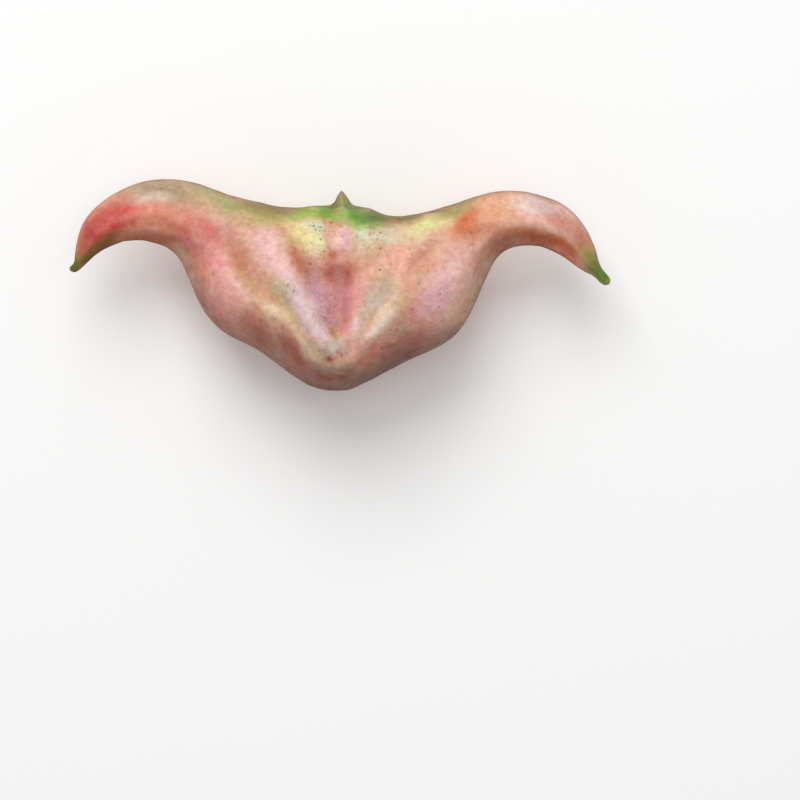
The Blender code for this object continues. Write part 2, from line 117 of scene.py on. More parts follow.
# Blushes: colour, x and y of the middle, half length and half width in millimetres, turn
# in degrees from left to right, and how strongly it covers what is under it.
FRONT_BLUSH = {
    "left horn's root": ("salmon", -21.5, 8.6, 4.4, 2.6, -10, 0.9),
    "left horn's upper side": ("taupe", -23.0, 12.4, 6.8, 1.8, -8, 1.0),
    "left horn's shoulder": ("beige", -17.0, 11.0, 3.8, 1.5, -22, 0.85),
    # The pale band is partly the horn's pale skin and partly a painted highlight along its top.
    "left horn's pale band": ("chalk", -25.4, 11.3, 3.6, 0.8, 6, 0.6),
    "left horn's salmon side": ("salmon", -25.6, 9.0, 4.4, 1.5, 6, 0.95),
    "left horn's soft coral": ("coral_soft", -27.0, 9.4, 3.4, 1.3, 16, 0.7),
    "left horn's coral blush": ("coral", -31.2, 8.2, 4.4, 2.2, 34, 1.1),
    "left horn's coral heart": ("scarlet", -31.4, 7.6, 3.4, 1.4, 38, 0.7),
    "left horn's magenta spot": ("magenta", -32.4, 7.0, 1.8, 1.0, 52, 0.75),
    "left horn's brown end": ("rose_brown", -34.0, 5.4, 2.4, 1.1, 66, 0.85),
    "left horn's under side": ("copper", -25.6, 6.0, 6.6, 1.0, 4, 0.9),
    "left horn's rosy corner": ("dusky_rose", -20.0, 5.6, 2.2, 1.2, -30, 0.8),
    "left horn's bronze edge": ("bronze", -31.6, 5.2, 3.2, 0.8, 34, 0.9),
    "left horn's olive edge": ("dark_olive", -33.4, 3.6, 2.4, 0.8, 42, 0.85),
    "forehead's sage patch": ("sage", -14.4, 10.6, 2.8, 1.3, -20, 0.95),
    "forehead's straw band": ("straw_green", -9.8, 8.9, 4.2, 1.2, -8, 0.9),
    "forehead's olive straw": ("olive_straw", -9.6, 9.4, 3.6, 0.8, -6, 0.6),
    "left brow's beige": ("beige", -13.4, 8.4, 3.4, 1.2, -18, 0.85),
    "left brow's peach": ("peach_cream", -11.8, 5.4, 3.4, 2.0, -46, 0.9),
    "left brow's tan rose": ("tan_rose", -14.2, 6.2, 2.4, 1.4, -44, 0.85),
    "left brow's red blush": ("blush_red", -19.6, 7.4, 2.6, 1.2, -22, 0.75),
    "left brow's second blush": ("blush_red", -16.8, 6.4, 2.4, 1.3, -40, 0.8),
    "left temple's rose": ("dusky_rose", -18.4, 4.6, 2.6, 1.3, -52, 0.85),
    "left cheek's salmon": ("salmon", -17.2, 0.8, 3.9, 1.8, -70, 0.9),
    "left cheek's pink stripe": ("candy_pink", -15.8, 1.8, 4.2, 1.3, -64, 0.9),
    "left cheek's rose": ("dusky_rose", -15.8, -2.8, 4.0, 2.4, -46, 1.0),
    "left cheek's brick spot": ("brick_rose", -16.4, -4.0, 3.4, 1.6, -46, 0.9),
    "left cheek's pink foot": ("candy_pink", -14.0, -2.4, 2.4, 1.3, -50, 0.8),
    "left furrow's apricot": ("apricot_brown", -13.1, 3.0, 3.2, 1.4, -66, 0.8),
    "left furrow's tan foot": ("tan", -11.4, -0.2, 2.8, 1.3, -48, 0.85),
    "left ridge's shell pink": ("shell_pink", -9.2, 4.2, 3.8, 2.1, -70, 1.0),
    # The pale crest is partly the ridge's pale skin and partly a painted highlight along it.
    "left ridge's pale crest": ("shell_pink", -7.0, 0.6, 2.6, 1.5, -52, 0.9),
    "left trough's sage": ("sage_beige", -6.5, -3.6, 4.8, 1.5, -58, 0.95),
    "left welt's cream": ("cream", -8.7, -3.5, 3.0, 0.9, -34, 0.85),
    "left welt's lower cream": ("cream", -4.8, -7.5, 3.2, 0.55, -60, 0.75),
    "left slope's tan rose": ("rose_tan", -11.8, -5.0, 4.6, 1.6, -34, 0.95),
    # The umber and brick on the lower left slope and the foot are partly the skin's brown and partly
    # painted shade where the skin turns under.
    "left slope's umber rose": ("umber_rose", -8.4, -8.3, 4.6, 1.3, -38, 0.8),
    "left slope's rose": ("umber_rose", -6.2, -8.4, 3.2, 1.2, -52, 0.6),
    "left cheek's rosy foot": ("dusky_rose", -14.6, -4.2, 1.8, 1.0, -40, 0.7),
    "foot's brick blush": ("brick", -3.8, -12.3, 3.6, 1.6, -34, 0.95),
    "foot's umber": ("umber", 1.0, -12.9, 4.4, 1.5, 12, 0.95),
    "left cushion's butter": ("butter", -5.3, 6.4, 2.5, 1.7, -64, 1.0),
    "left cushion's primrose": ("primrose", -3.4, 6.4, 2.9, 1.4, -72, 1.0),
    "left cushion's mist": ("mist_green", -3.1, 7.4, 1.6, 0.9, 0, 0.9),
    "middle rib's peach": ("peach_cream", -1.1, 6.2, 2.2, 1.1, -84, 0.95),
    "middle rib's shell pink": ("shell_pink", 0.6, 6.2, 2.2, 1.2, 84, 0.9),
    "middle rib's lilac side": ("mauve", 0.9, 6.0, 1.8, 0.7, -82, 0.6),
    "right cushion's mist": ("mist_green", 3.2, 6.7, 2.5, 1.5, -80, 1.0),
    "right cushion's ivory": ("ivory", 5.8, 6.1, 2.7, 1.6, 10, 1.0),
    "right cushion's beige foot": ("beige", 3.2, 3.8, 2.6, 1.7, 20, 0.85),
    "right cushion's rosy foot": ("pale_rose", 1.8, 3.4, 1.2, 0.9, 30, 0.6),
    "left ridge's inner brown": ("apricot_brown", -4.8, 2.6, 2.6, 1.1, -56, 0.85),
    "hollow's bronze spot": ("copper", -1.0, 4.0, 0.8, 0.5, 20, 0.7),
    "hollow's left tan": ("tan_rose", -3.3, 1.8, 1.8, 1.2, -40, 0.9),
    "hollow's terracotta": ("terracotta", 0.1, 1.8, 1.3, 0.9, 0, 0.85),
    "hollow's broad foot": ("terracotta", 0.2, 1.0, 2.7, 1.1, 0, 0.95),
    "hollow's lower red": ("terracotta", 0.6, 0.2, 1.6, 1.2, 0, 0.5),
    "valley's mauve": ("mauve", -2.2, -2.2, 4.2, 2.1, -70, 0.95),
    "valley's lower mauve": ("mauve", -1.1, -5.4, 2.0, 1.2, -76, 0.75),
    "left ridge's lilac crest": ("pale_lilac", -4.6, -3.2, 5.2, 1.7, -62, 1.0),
    "left ridge's pale foot": ("pale_lilac", -2.6, -6.6, 2.2, 1.0, -60, 0.85),
    "groove's rose": ("orchid", 0.8, -1.8, 3.0, 1.3, -86, 0.7),
    "right ridge's candy pink": ("candy_pink", 2.3, -2.6, 4.2, 1.2, 76, 0.95),
    "right brow's red blush": ("coral_soft", 8.0, 4.4, 2.4, 0.9, 44, 0.75),
    "right ridge's peach": ("peach", 8.2, 2.2, 3.6, 2.0, 54, 1.0),
    "right trough's cream": ("cream", 5.4, -2.0, 4.0, 2.2, 48, 1.0),
    "right trough's sage": ("sage_beige", 6.9, -3.2, 2.2, 0.9, 44, 0.5),
    "right trough's lower cream": ("cream", 4.0, -5.2, 2.2, 0.8, 52, 0.8),
    "right furrow's sage": ("sage_beige", 8.8, -2.6, 2.6, 1.0, 54, 0.5),
    "right ridge's pale foot": ("pale_lilac", 2.4, -5.8, 1.8, 0.8, 66, 0.7),
    # The welt's chalk is partly pale skin and partly a painted highlight along the welt.
    "right welt's chalk": ("chalk", 5.4, -5.7, 3.4, 0.7, 46, 0.85),
    "boss's pale top": ("stone", -0.7, -8.6, 2.2, 1.3, 0, 1.0),
    # The chalky spot is partly pale skin and partly a painted highlight where the boss stands out.
    "boss's chalky spot": ("chalk", -0.7, -8.9, 1.0, 0.6, 10, 0.8),
    "boss's straw drop": ("straw", -0.6, -6.9, 1.4, 0.5, -84, 0.85),
    "boss's rosy right side": ("dusky_rose", 2.6, -8.6, 1.5, 0.8, 50, 0.6),
    "boss's tan lip": ("taupe", -0.8, -11.0, 2.8, 0.8, 0, 0.8),
    "right brow's cream": ("cream", 12.6, 8.0, 4.6, 2.2, 26, 0.8),
    "right brow's primrose": ("primrose", 11.6, 7.7, 3.8, 1.5, 26, 0.85),
    "right brow's peach": ("peach_cream", 13.4, 4.6, 3.6, 1.9, 40, 0.9),
    "right brow's tan": ("tan_rose", 10.4, 3.4, 2.6, 0.8, 52, 0.6),
    "right horn's apricot ring": ("apricot", 19.4, 9.0, 4.6, 2.2, 22, 0.9),
    "right horn's copper ring": ("apricot_brown", 18.8, 6.9, 3.2, 1.3, 20, 0.85),
    "right horn's orange heart": ("burnt_orange", 16.5, 8.3, 2.1, 1.4, 58, 0.85),
    "right horn's rust foot": ("rust", 17.6, 7.2, 1.5, 0.9, 10, 0.55),
    "right horn's orange tail": ("coral_soft", 19.6, 9.4, 2.6, 0.9, 18, 0.5),
    "right horn's straw edge": ("olive_straw", 15.4, 10.0, 3.0, 0.9, 20, 0.85),
    "right horn's peach side": ("apricot", 22.0, 10.2, 3.6, 1.8, 10, 0.9),
    "right horn's shell pink": ("shell_pink", 25.8, 10.2, 3.2, 1.6, -12, 0.8),
    "right horn's taupe back": ("taupe", 27.2, 12.0, 4.4, 0.8, -18, 0.8),
    "right horn's rose spot": ("blush_red", 29.2, 8.6, 2.4, 1.1, -46, 0.85),
    "right horn's brown end": ("rose_tan", 32.0, 6.6, 2.4, 1.3, -62, 0.9),
    "right horn's rust under side": ("copper", 26.4, 6.3, 4.6, 1.0, -14, 0.95),
    "right horn's orange under side": ("burnt_orange", 29.6, 5.2, 2.4, 0.7, -36, 0.7),
    "right horn's tan under side": ("apricot_brown", 21.6, 5.6, 3.2, 1.3, 30, 0.85),
    "right cheek's shell pink": ("shell_pink", 14.6, 0.6, 4.4, 2.5, 60, 0.95),
    "right cheek's orchid": ("orchid", 12.4, -2.2, 3.6, 1.7, 40, 0.95),
    "right cheek's grey rose": ("peach_cream", 16.0, -3.6, 3.6, 1.6, 60, 0.8),
    "right cheek's taupe edge": ("cream", 18.6, 0.2, 5.4, 1.0, 66, 0.5),
    "right jaw's rose": ("dusky_rose", 11.6, -6.4, 3.6, 1.4, 26, 0.8),
    "right jaw's taupe": ("taupe_pink", 8.6, -6.2, 2.8, 1.3, 40, 0.85),
    # The umber on the right jaw is partly the skin's brown and partly a painted shadow over the lower
    # right.
    "right jaw's umber rose": ("umber_rose", 7.6, -8.9, 5.8, 1.6, 32, 0.9),
    "right jaw's umber foot": ("umber", 6.0, -11.0, 5.4, 1.1, 28, 0.8),
    "right jaw's brown corner": ("umber_rose", 14.4, -6.9, 3.4, 0.9, 30, 0.7),
    "boss's left crumb": ("tan_brown", -2.3, -9.7, 0.5, 0.3, 20, 0.8),
    "boss's pit": ("umber_rose", -1.3, -10.1, 0.9, 0.35, -10, 0.8),
    # Painted light: the ivory lightens the trough's left wall, which faces down into shade.
    "left trough's pale side": ("ivory", -7.3, -1.2, 1.8, 1.0, -54, 0.7),
    "right trough's chalky middle": ("chalk", 5.2, -2.2, 2.8, 1.4, 48, 0.75),
    # The chalky spot is partly the horn's pale skin and partly a painted highlight on its top.
    "right horn's chalky spot": ("chalk", 25.2, 10.4, 2.8, 1.3, -12, 0.7),
    "right horn's lilac side": ("papery", 27.6, 10.4, 2.6, 1.0, -26, 0.7),
    "boss's left side": ("taupe", -3.4, -8.9, 1.7, 1.0, -58, 0.8),
    "crown's left deep dip": ("deep_green", -1.3, 10.0, 0.9, 0.5, 20, 0.7),
    "crown's right deep dip": ("deep_green", 2.0, 9.7, 0.8, 0.6, -24, 0.85),
    "boss's second blot": ("umber_rose", -0.6, -10.7, 0.7, 0.35, -40, 0.6),
}
BACK_BLUSH = {
    "middle's pale field": ("cream", 0.0, 0.6, 8.0, 4.6, 0, 0.6),
    "left cheek's pale field": ("peach_cream", -13.6, 1.4, 5.0, 3.4, -50, 0.6),
    "left brow's primrose": ("primrose", -6.0, 6.4, 4.6, 2.4, 18, 0.85),
    "right brow's mist": ("mist_green", 5.2, 5.8, 3.4, 2.2, -40, 0.85),
    "middle's peach": ("peach", -0.8, 3.2, 3.2, 2.6, 60, 0.8),
    "left ridge's candy pink": ("candy_pink", -6.2, 0.0, 4.6, 1.6, -62, 0.8),
    "right ridge's shell pink": ("shell_pink", 7.0, 0.4, 4.8, 2.0, 60, 0.9),
    "middle's rose": ("blush_red", 1.8, -2.2, 2.6, 1.5, 30, 0.85),
    "middle's brick heart": ("brick_rose", 2.0, -2.6, 1.5, 0.8, 24, 0.6),
    "left trough's mint": ("mist_green", -3.8, -2.6, 2.4, 1.3, -60, 0.8),
    "right trough's butter": ("butter", 10.2, 0.6, 3.0, 1.3, 58, 0.75),
    "right shoulder's copper": ("copper", 14.6, 6.4, 2.6, 1.3, 30, 0.7),
    "left shoulder's red blush": ("blush_red", -11.0, 7.4, 3.0, 1.2, -14, 0.75),
    "left brow's straw edge": ("straw_green", -9.0, 9.4, 4.6, 0.9, -6, 0.8),
    "right brow's straw edge": ("straw_green", 9.6, 8.6, 4.6, 0.9, 10, 0.8),
    "middle's sage": ("sage_beige", -1.8, -5.0, 2.6, 1.8, -20, 0.8),
    "foot's mauve": ("mauve", 1.4, -7.6, 2.6, 1.6, 20, 0.7),
    "left cheek's coral blush": ("coral_soft", -15.2, -0.4, 3.4, 2.4, -60, 0.85),
    "left cheek's orchid": ("orchid", -12.0, -4.2, 3.0, 1.4, -36, 0.7),
    "right cheek's dusky rose": ("dusky_rose", 13.4, -2.4, 3.8, 2.2, 34, 0.8),
    "right cheek's cream": ("cream", 12.0, 3.4, 3.4, 2.2, 30, 0.8),
    "left temple's ivory": ("ivory", -14.0, 5.4, 3.0, 2.0, -20, 0.7),
    "left horn's straw root": ("straw_green", -20.6, 10.2, 4.0, 1.8, -30, 0.8),
    "left horn's rosy side": ("blush_red", -26.0, 10.6, 3.6, 1.5, 0, 0.7),
    "left horn's olive end": ("olive_straw", -31.6, 8.6, 3.8, 1.8, 44, 0.85),
    "left horn's green end": ("nib_green", -34.0, 4.6, 2.8, 1.8, 64, 0.7),
    "right horn's apricot root": ("apricot", 18.4, 8.4, 4.0, 2.2, 30, 0.8),
    "right horn's pale rose side": ("pale_rose", 24.0, 9.4, 3.6, 1.5, 0, 0.8),
    "right horn's olive end": ("olive_straw", 30.0, 7.4, 3.8, 1.8, -40, 0.85),
    "left slope's brown": ("umber_rose", -10.4, -7.2, 4.8, 1.0, -34, 0.7),
    "right slope's brown": ("umber_rose", 9.6, -8.4, 5.2, 1.0, 27, 0.7),
    "foot's brick blush": ("brick", -3.4, -11.4, 3.0, 1.4, -36, 0.7),
    "papery scrape": ("papery", 5.6, -3.6, 1.9, 1.1, 62, 0.9),
    "left cheek's brick spot": ("brick_rose", -16.4, -1.6, 2.4, 1.2, -56, 0.7),
    "right cheek's magenta spot": ("magenta", 15.4, -1.2, 1.8, 0.9, 50, 0.5),
    "left scab": ("tan_green", -8.6, 2.4, 0.9, 0.5, 40, 0.8),
    "right scab": ("tan_green", 10.6, -4.8, 0.8, 0.6, -30, 0.8),
    "middle scab": ("tan_green", 2.6, 4.8, 0.7, 0.5, 20, 0.7),
}

# The crown, the horns' points and the edges between the two faces are the same colour all round.
ALL_ROUND_BLUSH = {
    "crown's green brim": ("leaf_green", 0.2, 10.9, 3.6, 1.0, -2, 0.7),
    "crown's pale green hem": ("spring_green", 2.8, 8.0, 3.4, 0.9, -6, 0.9),
    "crown's far left hem": ("leaf_green", -5.4, 9.1, 1.8, 0.7, 0, 0.5),
    "crown's middle straw": ("pale_green", -0.5, 9.0, 1.6, 0.8, 8, 0.85),
    "crown's left lime": ("lime", -4.0, 9.7, 2.4, 1.1, 6, 1.0),
    "crown's left leaf green": ("leaf_green", -2.0, 9.7, 1.7, 1.1, 14, 1.0),
    "crown's right leaf green": ("grass_green", 2.5, 9.4, 1.9, 1.3, -16, 1.0),
    "crown's right sage": ("sage_green", 4.8, 8.9, 2.2, 1.2, -24, 0.95),
    # The far right olive is partly the crown's colour and partly painted shade along its edge.
    "crown's far right olive": ("olive", 7.8, 8.9, 2.9, 0.9, -4, 0.8),
    "spike's green root": ("pale_green", 0.9, 10.4, 1.6, 0.8, 84, 0.9),
    "spike's tan side": ("tan_green", 0.0, 11.8, 1.8, 1.4, 90, 1.0),
    "spike's brown point": ("umber", 0.3, 12.6, 0.7, 0.5, 90, 0.6),
    "left horn's green neck": ("olive", -34.6, 3.2, 1.4, 1.1, 50, 0.6),
    "left horn's green point": ("nib_green", -35.8, 2.2, 1.3, 1.3, 0, 1.0),
    "right horn's straw neck": ("olive_straw", 33.2, 4.0, 1.8, 1.2, -56, 0.85),
    "right horn's green neck": ("olive", 33.8, 3.0, 1.6, 1.2, -52, 0.8),
    "right horn's green point": ("fresh_green", 35.2, 1.1, 2.2, 1.4, -50, 1.0),
    # The edges below are partly the skin's olive, sage, taupe and brick and partly painted shade where the
    # skin turns away at the outline.
    "left brow's olive edge": ("olive", -9.9, 10.3, 5.6, 0.9, -6, 0.8),
    "right brow's olive edge": ("olive", 11.4, 9.9, 4.8, 0.7, 13, 0.7),
    "right shoulder's olive edge": ("olive_straw", 17.6, 11.8, 3.4, 0.7, 24, 0.7),
    "left shoulder's sage edge": ("sage", -16.6, 12.0, 3.6, 0.9, -20, 0.8),
    "left horn's taupe edge": ("taupe", -24.4, 14.0, 5.0, 0.8, 0, 0.7),
    "right horn's taupe edge": ("taupe", 25.4, 13.4, 5.4, 0.8, -6, 0.6),
    "foot's brick edge": ("brick", -4.4, -12.4, 3.0, 1.2, -34, 0.7),
}

# Dark pits and specks: x and y of the middle, and radius in millimetres.
FRONT_PITS = (
    (-3.4, 7.6, 0.14),
    (-3.1, 7.1, 0.15),
    (-2.6, 6.9, 0.12),
    (-2.5, 7.4, 0.12),
    (-1.1, 8.1, 0.14),
    (0.3, 7.6, 0.1),
    (0.4, 6.2, 0.1),
    (1.6, 6.6, 0.09),
    (5.4, 4.6, 0.13),
    (4.3, 8.8, 0.12),
    (4.4, 7.3, 0.12),
    (4.1, 6.6, 0.1),
    (4.3, 5.9, 0.1),
    (-4.6, 6.6, 0.09),
    (-1.5, 4.6, 0.1),
    (-1.1, 4.3, 0.09),
    (-1.9, 4.1, 0.08),
    (-2.4, 3.8, 0.1),
    (-2.4, 1.9, 0.09),
    (-6.2, 2.6, 0.1),
    (-4.2, 1.6, 0.1),
    (-6.7, -0.3, 0.13),
    (-5.8, -1.0, 0.17),
    (-5.9, -1.3, 0.11),
    (-7.4, -5.9, 0.19),
    (-8.4, -4.8, 0.09),
    (-24.0, 12.7, 0.14),
    (29.4, 9.9, 0.11),
    (-16.7, 1.3, 0.1),
    (-12.8, 8.7, 0.1),
    (-11.4, 8.2, 0.09),
    (6.9, 2.6, 0.09),
    (10.4, -0.1, 0.1),
    (9.6, -3.4, 0.09),
    (7.6, -6.2, 0.14),
    (3.4, 0.4, 0.09),
    (-0.2, -5.6, 0.11),
    (1.2, -6.8, 0.09),
    (-1.4, -3.6, 0.09),
    (-2.4, -2.4, 0.08),
    (-5.6, -9.2, 0.12),
    (-1.9, -10.1, 0.1),
    (-1.1, -10.2, 0.1),
    (-0.5, -9.8, 0.08),
    (-1.6, -9.6, 0.07),
    (13.6, -5.0, 0.09),
    (17.4, 5.2, 0.09),
    (-20.9, 9.7, 0.09),
)

BACK_PITS = (
    (-8.8, 2.6, 0.16),
    (-8.2, 2.2, 0.12),
    (-5.2, 4.4, 0.1),
    (-2.4, 5.8, 0.1),
    (2.4, 4.9, 0.14),
    (2.9, 4.6, 0.1),
    (4.6, 2.2, 0.09),
    (10.4, -4.7, 0.15),
    (10.9, -5.0, 0.1),
    (6.4, -1.4, 0.09),
    (1.2, -1.6, 0.1),
    (-0.6, -4.2, 0.12),
    (-3.8, -7.0, 0.1),
    (3.6, -8.6, 0.12),
    (-12.2, -1.0, 0.1),
    (-16.0, 2.2, 0.12),
    (13.8, 2.6, 0.1),
    (20.4, 8.2, 0.1),
    (-24.2, 10.4, 0.12),
    (-29.6, 8.8, 0.1),
)

# Places crowded with fine specks: x and y of the middle, half length and half width in
# millimetres, turn in degrees, and how crowded.
FRONT_CROWDED = (
    (-2.4, 7.2, 3.0, 1.6, 0, 0.8),
    (4.2, 6.7, 2.6, 2.2, 60, 0.7),
    (-1.6, -3.4, 4.0, 1.7, -74, 1.0),
    (-2.6, 3.0, 2.6, 1.8, -40, 0.7),
    (-6.5, -0.9, 1.8, 1.2, -50, 0.8),
    (-0.8, -9.6, 3.0, 1.3, 0, 0.9),
    (0.4, 1.6, 2.4, 1.4, 0, 0.6),
    (6.6, 3.4, 3.4, 0.8, 50, 0.7),
    (12.4, -2.6, 3.2, 1.8, 36, 0.45),
    (-5.4, 2.2, 2.6, 0.9, -56, 0.7),
    (-10.4, -6.0, 4.0, 1.6, -36, 0.5),
    (7.2, -7.4, 4.2, 1.6, 32, 0.5),
    (-31.0, 6.6, 3.4, 1.2, 40, 0.4),
)
BACK_CROWDED = (
    (-8.4, 2.4, 2.0, 1.2, 30, 0.8),
    (2.6, 5.0, 2.6, 1.4, 10, 0.7),
    (0.8, -2.4, 3.6, 1.4, -60, 0.7),
    (10.6, -4.8, 2.2, 1.2, 40, 0.7),
    (-1.6, -7.2, 3.2, 1.4, 0, 0.6),
    (-15.0, 0.4, 3.0, 1.6, -50, 0.5),
)

# Fine folds that the solid leaves out: half width and height in millimetres, and the x and y
# that each runs through. A height is along the skin's own outward direction.
FRONT_CREASES = {
    "left ridge's crest": (1.1, 0.16, ((-8.0, 4.0), (-5.8, -0.4), (-4.2, -3.6), (-2.5, -7.6))),
    "right ridge's crest": (1.0, 0.12, ((6.2, 4.2), (3.8, 0.6), (2.4, -3.4), (1.4, -6.4))),
    "left trough's floor": (1.0, -0.12, ((-8.2, -0.8), (-6.2, -3.6), (-4.6, -6.6), (-3.8, -8.4))),
    "right trough's floor": (1.2, -0.04, ((6.4, -0.8), (4.8, -3.4), (3.2, -6.0))),
    "lip's left side": (
        0.7,
        0.3,
        ((-10.4, -2.4), (-6.8, -4.7), (-4.7, -7.8), (-3.4, -9.9), (-1.4, -11.2), (0.6, -11.3)),
    ),
    "lip's right side": (
        0.7,
        0.3,
        ((-1.8, -11.2), (0.2, -11.3), (1.6, -10.2), (3.4, -8.1), (6.0, -4.8), (8.2, -3.2)),
    ),
    "step below the lip": (
        0.9,
        -0.35,
        ((-8.6, -5.8), (-4.9, -10.6), (-2.2, -12.5), (0.9, -12.5), (4.6, -8.9), (7.8, -5.2)),
    ),
    "boss's top": (1.0, 0.14, ((-2.4, -8.4), (-0.4, -8.2))),
    "left horn's brow": (1.5, 0.7, ((-32.8, 6.0), (-29.6, 7.3), (-25.6, 7.7), (-21.6, 7.0), (-18.6, 5.2))),
    "pit in the boss": (0.42, -0.24, ((-1.6, -10.0), (-1.1, -10.2))),
    "crumb left of the pit": (0.3, 0.2, ((-2.3, -9.5), (-2.0, -9.6))),
    "crumb right of the pit": (0.3, 0.16, ((-0.5, -9.9), (-0.2, -10.1))),
    "groove": (1.0, 0.1, ((0.6, 0.6), (0.9, -1.4), (0.8, -5.6))),
    "hollow's floor": (1.5, -0.2, ((-1.8, 1.7), (1.6, 1.2))),
    "left cushion's fold": (0.9, -0.14, ((-5.6, 6.4), (-5.0, 3.4), (-3.2, 0.8))),
    "right cushion's fold": (0.9, -0.12, ((6.0, 5.6), (4.2, 3.0), (2.2, 1.0))),
    "middle rib": (0.9, 0.12, ((0.6, 8.4), (0.4, 5.6), (0.0, 3.8))),
    "left cheek's fold": (1.3, -0.14, ((-14.0, 4.0), (-12.4, 0.4), (-9.6, -3.6))),
    "left cheek's welt": (1.4, 0.14, ((-16.4, 3.4), (-14.6, -0.6), (-12.0, -4.0))),
    "boss's lump": (0.7, 0.16, ((0.4, -9.4), (1.2, -9.0))),
    "boss's chin": (0.5, 0.14, ((-1.8, -10.9), (0.2, -11.0))),
    "boss's left knob": (0.45, 0.2, ((-2.6, -8.0), (-2.0, -8.6))),
    "boss's right knob": (0.45, 0.18, ((0.8, -7.8), (1.2, -8.4))),
    "boss's small dip": (0.4, -0.16, ((-0.4, -9.3), (0.1, -9.1))),
    "right horn's brow": (1.3, 0.5, ((20.4, 5.0), (23.0, 6.9), (25.6, 7.6), (29.4, 6.9), (32.2, 4.8))),
}
BACK_CREASES = {
    "left ridge's crest": (1.1, 0.24, ((-8.2, 4.2), (-6.0, -0.6), (-4.0, -5.0))),
    "right ridge's crest": (1.1, 0.22, ((8.6, 3.8), (6.2, -0.8), (4.2, -5.2))),
    "foot's fold": (0.8, -0.16, ((-3.2, -11.2), (0.4, -11.9), (3.8, -11.0))),
    "middle rib": (0.9, 0.14, ((0.4, 8.4), (0.2, 5.6), (-0.2, 3.4))),
    "left trough's floor": (1.1, -0.16, ((-10.6, 1.6), (-8.4, -2.8), (-6.2, -6.2))),
    "right trough's floor": (1.1, -0.14, ((11.0, 1.4), (8.8, -2.8), (6.4, -5.8))),
    "left cheek's welt": (1.2, 0.16, ((-15.4, 3.2), (-13.0, -1.8), (-10.0, -5.2))),
    "right cheek's welt": (1.2, 0.14, ((15.0, 2.8), (13.2, -2.0), (10.2, -5.6))),
    "middle's dip": (1.1, -0.16, ((-1.2, 0.6), (0.6, -0.4))),
}

# Ribs, fillings and saddles round the crown, which run down from the spike: x and z of the lower end
# from the spike's middle, half width and height in millimetres.
CROWN_RIBS = {
    "front rib": (0.3, 3.0, 0.6, 0.12),
    "back rib": (-0.6, -3.2, 0.6, 0.14),
    "front left filling": (-3.0, 2.2, 0.8, 0.08),
    "front right filling": (3.0, 2.2, 0.8, 0.08),
    "back left filling": (-3.0, -2.2, 0.8, 0.08),
    "back right filling": (3.0, -2.2, 0.8, 0.08),
    "left saddle": (-6.0, 0.0, 1.4, -0.4),
    "right saddle": (5.0, 0.0, 1.4, -0.2),
}

# A rib comes in between these distances from the spike's middle, in millimetres, and fades out
# from this share of its length on.
RIB_START = (0.5, 1.4)
RIB_ENDING = 0.5

# A crease fades in over CREASE_FADE of its length, and out over as much. It is missing where the
# skin faces up or down by less than the first share of CREASE_FACING, and whole above the second.
# Its path wanders by up to about CREASE_WANDER millimetres.
CREASE_FADE = 0.3
CREASE_FACING = (0.15, 0.55)
CREASE_WANDER = 0.35

# The spike is drawn out to a finer point than the solid's: x of its middle, z from the middle
# plane, radius and height, in millimetres. The crown is what lies above CROWN_ABOVE.
SPIKE_MIDDLE = (0.25, 0.0)
SPIKE_RADIUS = 1.6
SPIKE_HEIGHT = 0.35
CROWN_ABOVE = 8.0

# Lumps and wrinkles all over the skin: size of the pattern, and height, in millimetres.
LUMPS = (("broad lumps", 4.5, 0.16), ("small lumps", 1.7, 0.07), ("wrinkles", 0.7, 0.025))

# The noise patterns start from this number, so that every run gives the same fruit.
NOISE_SEED = 1

# Noise patterns over the points: size in millimetres, and a shift that sets each apart.
NOISES = {
    "creases": (2.5, 2.3),
    "broad ground": (5.0, 7.3),
    "middling ground": (2.2, 3.1),
    "broken cover": (0.9, 5.7),
    "stray crowds": (3.0, 9.1),
}

# The ground under the blushes, on a plain colour: colour, its noise pattern and that pattern's axis,
# the values between which it comes in, and how strongly it covers.
PLAIN_GROUND = "pale_rose"
GROUND = (
    ("salmon", "broad ground", 0, -0.25, 0.35, 0.8),
    ("shell_pink", "broad ground", 1, 0.1, 0.5, 0.7),
    ("sage_beige", "middling ground", 0, 0.1, 0.6, 0.6),
    ("tan_rose", "middling ground", 1, 0.2, 0.7, 0.5),
)

# How the blushes' edges wander: size of the pattern, and reach, in millimetres.
WANDERINGS = ((4.0, 0.6), (1.3, 0.35))

# A blush is whole up to the first of these shares of its oval's size, and gone at the second.
OVAL_EDGE = (0.1, 1.5)

# A blush's cover varies by about COVER_REACH round COVER_MIDDLE. Those all round get a little more.
COVER_MIDDLE = 1.05
COVER_REACH = 0.25
ALL_ROUND_LIFT = 0.1

# Heights above the middle plane, in millimetres, between which each face's blushes and the front's
# specks come in.
BACK_FADE = (0.6, -1.2)
FRONT_FADE = (-1.6, 0.2)
SPECK_FADE = (-0.5, 0.5)

# How much richer and deeper the painted colours are made, to make up for the skin's pale sheen.
RICHNESS = 1.2
DEPTH = 0.94

# Pits are noted up to this far from their edges, in millimetres.
PIT_REACH = 1.0

# How crowded with specks the other places get, and the values of the pattern where that comes in.
STRAY_CROWD = 0.25
STRAY_START = (0.1, 0.5)

# Points closer than SAME_POINT millimetres are joined, triangles become squares up to these angles
# in degrees, and each square is then divided so many times.
SAME_POINT = 0.01
SQUARE_FACE_ANGLE = 50
SQUARE_SHAPE_ANGLE = 60
SUBDIVISIONS = 2

# Rounds of smoothing that the hollows and the rims are measured by, and a hollow's full depth in
# millimetres.
HOLLOW_ROUNDS = 40
HOLLOW_DEPTH = 0.2
RIM_ROUNDS = 16

